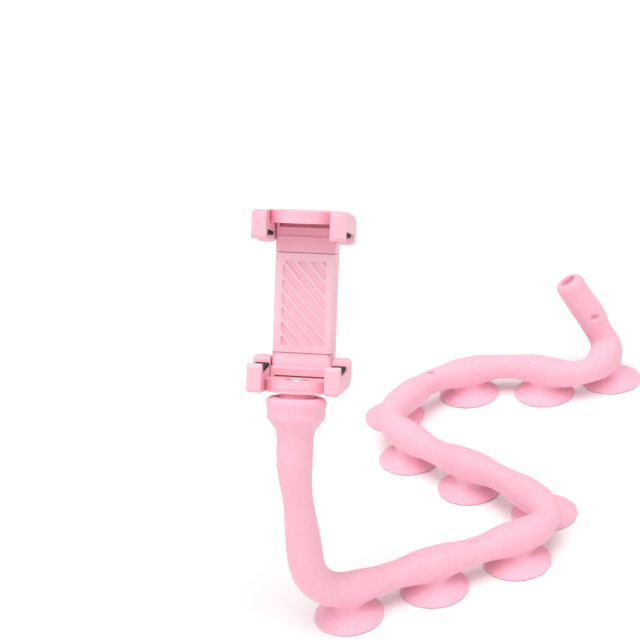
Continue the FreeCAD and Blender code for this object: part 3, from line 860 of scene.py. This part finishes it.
@dataclass
class PhoneClamp:
    """The clamp's moulded plastic: lower jaw with its housing, front cover, sliding upper jaw."""

    edge: float = 0.25
    cover_edge: float = 0.2
    hook_edge: float = 0.8
    hook_inner: float = 14.4
    hook_foot_rise: float = 6.6
    hook_foot_front: float = -2.6
    hook_least_edge: float = 2.0
    bevel_segments: int = 4
    slack: float = 0.05
    floor_slack: float = 0.1
    top: float = 82.2
    plate_front: float = 10.0
    groove_half: float = 10.0
    groove_depth: float = 0.7
    groove_corner: float = 0.8
    lower_seam: tuple[tuple[float, float, float], tuple[float, float, float]] = (
        (-12.4, 7.6, 5.55), (12.4, 12.6, 6.25))
    upper_seam: tuple[tuple[float, float, float], tuple[float, float, float]] = (
        (-12.4, 8.6, 74.2), (12.4, 14.0, 76.65))

    def cut_seam(self, piece: bpy.types.Object, low: tuple[float, float, float],
                 high: tuple[float, float, float]) -> None:
        """Cuts the narrow gap between a jaw's plate and its ledge.

        Args:
            piece: A jaw's moulding.
            low: Low corner of the gap in the clamp's frame, in millimetres.
            high: High corner of the gap.
        """
        deselect_all()
        bpy.ops.mesh.primitive_cube_add(size=1, location=(Vector(low) + Vector(high)) / 2 * MM,
                                        scale=(Vector(high) - Vector(low)) * MM)
        cutter = bpy.context.object
        bpy.ops.object.transform_apply(location=True, rotation=True, scale=True)
        cutter.data.transform(clamp_place())
        apply_modifier(piece, "BOOLEAN", object=cutter, operation="DIFFERENCE", solver="EXACT")
        bpy.data.objects.remove(cutter)

    def round_hooks(self, piece: bpy.types.Object) -> None:
        """Rounds the hooked arms' long edges more than the rest, as they are meant to be touched.

        Args:
            piece: A jaw's moulding with its flat faces still in triangles.
        """
        inward = clamp_place().inverted()
        with editing(piece, "EDGE"):
            join_flat_faces()
            mesh = bmesh.from_edit_mesh(piece.data)
            for edge in mesh.edges:
                ends = [inward @ vertex.co / MM for vertex in edge.verts]
                on_hook = all(abs(end.x) > self.hook_inner - self.slack for end in ends)
                heights = [min(end.z, self.top - end.z) for end in ends]
                foot = all(end.y > self.hook_foot_front and height < self.hook_foot_rise
                           for end, height in zip(ends, heights))
                sharp = edge.is_manifold and edge.calc_face_angle() > math.radians(SHARP_ANGLE)
                edge.select_set(on_hook and sharp and not foot and edge.is_convex
                                and edge.calc_length() > self.hook_least_edge * MM)
            bmesh.update_edit_mesh(piece.data)
            bpy.ops.mesh.bevel(offset=self.hook_edge * MM, segments=self.bevel_segments,
                               affect="EDGES", clamp_overlap=True)

    def round_grooves(self, piece: bpy.types.Object) -> None:
        """Rounds the upright corners of the cover's grooves.

        Args:
            piece: The cover's moulding with its flat faces still in triangles.
        """
        inward = clamp_place().inverted()
        with editing(piece, "EDGE"):
            join_flat_faces()
            mesh = bmesh.from_edit_mesh(piece.data)
            for edge in mesh.edges:
                step = inward.to_3x3() @ (edge.verts[0].co - edge.verts[1].co) / MM
                place = inward @ edge.verts[0].co / MM
                upright = max(abs(abs(step.y) - self.groove_depth), abs(step.x), abs(step.z))
                edge.select_set(upright < self.slack
                                and abs(place.x) < self.groove_half + self.floor_slack)
            bmesh.update_edit_mesh(piece.data)
            bpy.ops.mesh.bevel(offset=self.groove_corner * MM, segments=self.bevel_segments,
                               affect="EDGES")

    def mark_floors(self, piece: bpy.types.Object) -> None:
        """Marks the grooves' floors, which get painted shade.

        Args:
            piece: The cover's finished moulding.
        """
        inward = clamp_place().inverted()
        # The mark says which faces get painted shade
        mark = piece.data.attributes.new("groove_floor_shade", "FLOAT", "FACE")
        for face in piece.data.polygons:
            spot = inward @ face.center / MM
            floor = abs(spot.y - self.plate_front - self.groove_depth) < self.floor_slack
            mark.data[face.index].value = float(floor and abs(spot.x) < self.groove_half)

    def build(self) -> list[bpy.types.Object]:
        """Rounds the mouldings' edges and dresses them.

        Returns:
            The three mouldings.
        """
        rose, pale = CLAMP_ABS.material(), COVER_ABS.material()
        pieces = []
        for node, edge, material, body in (("lower_jaw", self.edge, rose, Body.CLAMP),
                                           ("front_cover", self.cover_edge, pale, Body.CLAMP),
                                           ("upper_jaw", self.edge, rose, Body.JAW)):
            piece = merged_copy(node, node + "_moulding")
            if node == "front_cover":
                self.round_grooves(piece)
            else:
                self.cut_seam(piece, *(self.lower_seam if body is Body.CLAMP else self.upper_seam))
                self.round_hooks(piece)
            round_roomy_edges(piece, edge)
            if node == "front_cover":
                self.mark_floors(piece)
            dress(piece, material)
            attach(piece, body.value)
            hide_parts(node)
            pieces.append(piece)
        return pieces


@dataclass
class JawPads:
    """The four rubber pads in the jaws' notches."""

    edge: float = 0.35

    def build(self) -> list[bpy.types.Object]:
        """Rounds the pads' edges and dresses them.

        Returns:
            The four pads.
        """
        material = RUBBER.material()
        pieces = []
        for level, body in (("lower", Body.CLAMP), ("upper", Body.JAW)):
            for side in ("left", "right"):
                node = f"{level}_pad_{side}"
                piece = merged_copy(node, node + "_rubber")
                soften_edges(piece, self.edge, 3)
                dress(piece, material)
                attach(piece, body.value)
                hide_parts(node)
                pieces.append(piece)
        return pieces


@dataclass
class Swivel:
    """Plug, washer and screw that the clamp turns on."""

    plug_edge: float = 0.3
    steel_edge: float = 0.12

    def build(self) -> list[bpy.types.Object]:
        """Rounds the turned edges and dresses the pieces.

        Returns:
            Plug, screw, washer and the cover's screws.
        """
        steel = STEEL.material()
        pieces = []
        for node, edge, material, slot, body in (
                ("swivel_plug", self.plug_edge, PLUG_ABS.material(), Slot.PLUG_PLASTIC, Body.ARM),
                ("swivel_screw", self.steel_edge, steel, Slot.SCREW_STEEL, Body.ARM),
                ("swivel_washer", self.steel_edge, steel, Slot.SCREW_STEEL, Body.ARM),
                ("cover_screws", self.steel_edge, steel, Slot.SCREW_STEEL, Body.CLAMP)):
            piece = merged_copy(node, node + "_turned")
            soften_edges(piece, edge)
            dress(piece, material)
            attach(piece, body.value)
            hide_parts(node)
            pieces.append(piece)
        return pieces


@dataclass
class JawSpring:
    """The extension spring inside the housing, wound from round wire."""

    wire: float = 0.8
    diameter: float = 4.8
    depth: float = 17.1
    foot: float = 16.8
    head: float = 54.2
    turns: int = 14
    wire_sides: int = 10
    turn_steps: int = 28

    def build(self) -> bpy.types.Object:
        """Winds the coil and closes its ends.

        Returns:
            The finished spring.
        """
        half = self.wire / 2
        deselect_all()
        bpy.ops.mesh.primitive_circle_add(
            vertices=self.wire_sides, radius=half * MM, rotation=(math.pi / 2, 0, 0),
            location=((self.diameter / 2 - half) * MM, 0, 0))
        piece = bpy.context.object
        piece.name = piece.data.name = "jaw_spring_coil"
        bpy.ops.object.transform_apply(location=True, rotation=True, scale=True)
        rise = (self.head - self.foot - self.wire) * MM
        apply_modifier(piece, "SCREW", angle=2 * math.pi, screw_offset=rise / self.turns,
                       iterations=self.turns, steps=self.turn_steps, render_steps=self.turn_steps,
                       use_merge_vertices=False)
        with editing(piece, "EDGE"):
            bpy.ops.mesh.select_all(action="SELECT")
            bpy.ops.mesh.remove_doubles(threshold=0.001 * MM)
            bpy.ops.mesh.select_all(action="DESELECT")
            bpy.ops.mesh.select_non_manifold()
            bpy.ops.mesh.fill_holes(sides=self.wire_sides)
            bpy.ops.mesh.select_all(action="SELECT")
            bpy.ops.mesh.normals_make_consistent(inside=False)
        place = clamp_place()
        foot = Vector((0, self.depth * MM, (self.foot + half) * MM))
        piece.data.transform(place @ Matrix.Translation(foot))
        focus(piece)
        bpy.ops.object.shade_smooth_by_angle(angle=math.radians(40))
        dress(piece, SPRING_WIRE.material())
        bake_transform(piece)
        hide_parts("jaw_spring")
        return piece


@dataclass
class Studio:
    """Pale floor, soft lamps and the camera at the photograph's angle."""

    floor_side: float = 6000.0
    floor_drop: float = 0.05
    floor_colour: str = "#FDFCFC"
    ambient: float = 0.27
    lamp_spread: float = 50.0
    lamps: tuple[tuple[str, tuple[float, float, float], float], ...] = (
        ("top_lamp", (0.0, 0.0, 1.0), 1.65), ("left_lamp", (-0.6, -0.5, 0.62), 1.05),
        ("right_lamp", (0.6, -0.5, 0.62), 0.8))
    camera_place: tuple[float, float, float] = (77.93, -811.44, 539.45)
    camera_yaw: float = 10.5
    camera_pitch: float = 27.91
    camera_roll: float = -6.51
    focal_pixels: float = 1835.0
    camera_clip: tuple[float, float] = (0.01, 20.0)

    def floor(self) -> None:
        """Lays the floor under the cups."""
        deselect_all()
        bpy.ops.mesh.primitive_plane_add(size=self.floor_side * MM,
                                         location=(0, 0, -self.floor_drop * MM))
        floor = bpy.context.object
        floor.name = "studio_floor"
        material = bpy.data.materials.new("matt_white_paper")
        material.use_nodes = True
        tree = material.node_tree
        tree.nodes.clear()
        shader = add_node(tree, "ShaderNodeBsdfDiffuse", {"Color": linear(self.floor_colour)})
        add_node(tree, "ShaderNodeOutputMaterial", links={"Surface": shader.outputs["BSDF"]})
        floor.data.materials.append(material)

    def world(self) -> None:
        """Lights the object evenly, in front of a white background."""
        world = bpy.data.worlds.new("studio_world")
        bpy.context.scene.world = world
        world.use_nodes = True
        tree = world.node_tree
        tree.nodes.clear()
        rays = add_node(tree, "ShaderNodeLightPath")
        seen = add_node(tree, "ShaderNodeMath", links={0: rays.outputs["Is Camera Ray"],
                                                       1: rays.outputs["Is Glossy Ray"]},
                        operation="ADD")
        shown = add_node(tree, "ShaderNodeMath", links={0: seen.outputs[0],
                                                        1: rays.outputs["Is Transmission Ray"]},
                         operation="ADD", use_clamp=True)
        soft, white = (add_node(tree, "ShaderNodeBackground",
                                {"Color": (1, 1, 1, 1), "Strength": strength})
                       for strength in (self.ambient, 1.0))
        mix = add_node(tree, "ShaderNodeMixShader", links={0: shown.outputs[0],
                                                           1: soft.outputs[0], 2: white.outputs[0]})
        add_node(tree, "ShaderNodeOutputWorld", links={"Surface": mix.outputs[0]})

    def lamp(self, name: str, source: tuple[float, float, float], power: float) -> None:
        """Hangs one wide soft lamp so far off that it lights the whole floor evenly.

        Args:
            name: Name of the lamp.
            source: Direction that its light comes from.
            power: Its light on a surface that faces it, in watts for each square metre.
        """
        light = bpy.data.lights.new(name, "SUN")
        light.energy = power
        light.angle = math.radians(self.lamp_spread)
        lamp = bpy.data.objects.new(name, light)
        bpy.context.scene.collection.objects.link(lamp)
        lamp.location = Vector(source)
        lamp.rotation_euler = Vector(source).to_track_quat("Z", "Y").to_euler()

    def camera(self) -> None:
        """Sets the camera where the photograph was taken from."""
        yaw, pitch, roll = (math.radians(angle) for angle in
                            (self.camera_yaw, self.camera_pitch, self.camera_roll))
        right = Vector((math.cos(yaw), math.sin(yaw), 0))
        ahead = Vector((-math.cos(pitch) * math.sin(yaw), math.cos(pitch) * math.cos(yaw),
                        -math.sin(pitch)))
        down = ahead.cross(right)
        side = right * math.cos(roll) - down * math.sin(roll)
        up = right * -math.sin(roll) - down * math.cos(roll)
        data = bpy.data.cameras.new("photo_camera")
        data.sensor_fit = "HORIZONTAL"
        data.sensor_width = SENSOR_WIDTH
        data.lens = self.focal_pixels / IMAGE_SIDE * SENSOR_WIDTH
        data.clip_start, data.clip_end = self.camera_clip
        camera = bpy.data.objects.new("photo_camera", data)
        bpy.context.scene.collection.objects.link(camera)
        camera.matrix_world = Matrix.Translation(Vector(self.camera_place) * MM) @ \
            Matrix((side, up, -ahead)).transposed().to_4x4()
        bpy.context.scene.camera = camera

    def build(self) -> None:
        """Sets up the whole studio."""
        bpy.context.scene.view_settings.view_transform = "Standard"
        self.floor()
        self.world()
        for name, source, power in self.lamps:
            self.lamp(name, source, power)
        self.camera()


def report(piece: bpy.types.Object) -> None:
    """Reports one finished piece."""
    triangles = sum(len(face.vertices) - 2 for face in piece.data.polygons)
    LOG.info("%s: %d triangles", piece.name, triangles)


def main() -> None:
    """Builds the sub-assemblies in order, then the studio."""
    logging.basicConfig(level=logging.INFO, format="%(message)s")
    report(SiliconeArm().build())
    for assembly in (PhoneClamp(), JawPads(), Swivel()):
        for piece in assembly.build():
            report(piece)
    report(JawSpring().build())
    Studio().build()


if __name__ == "__main__":
    main()
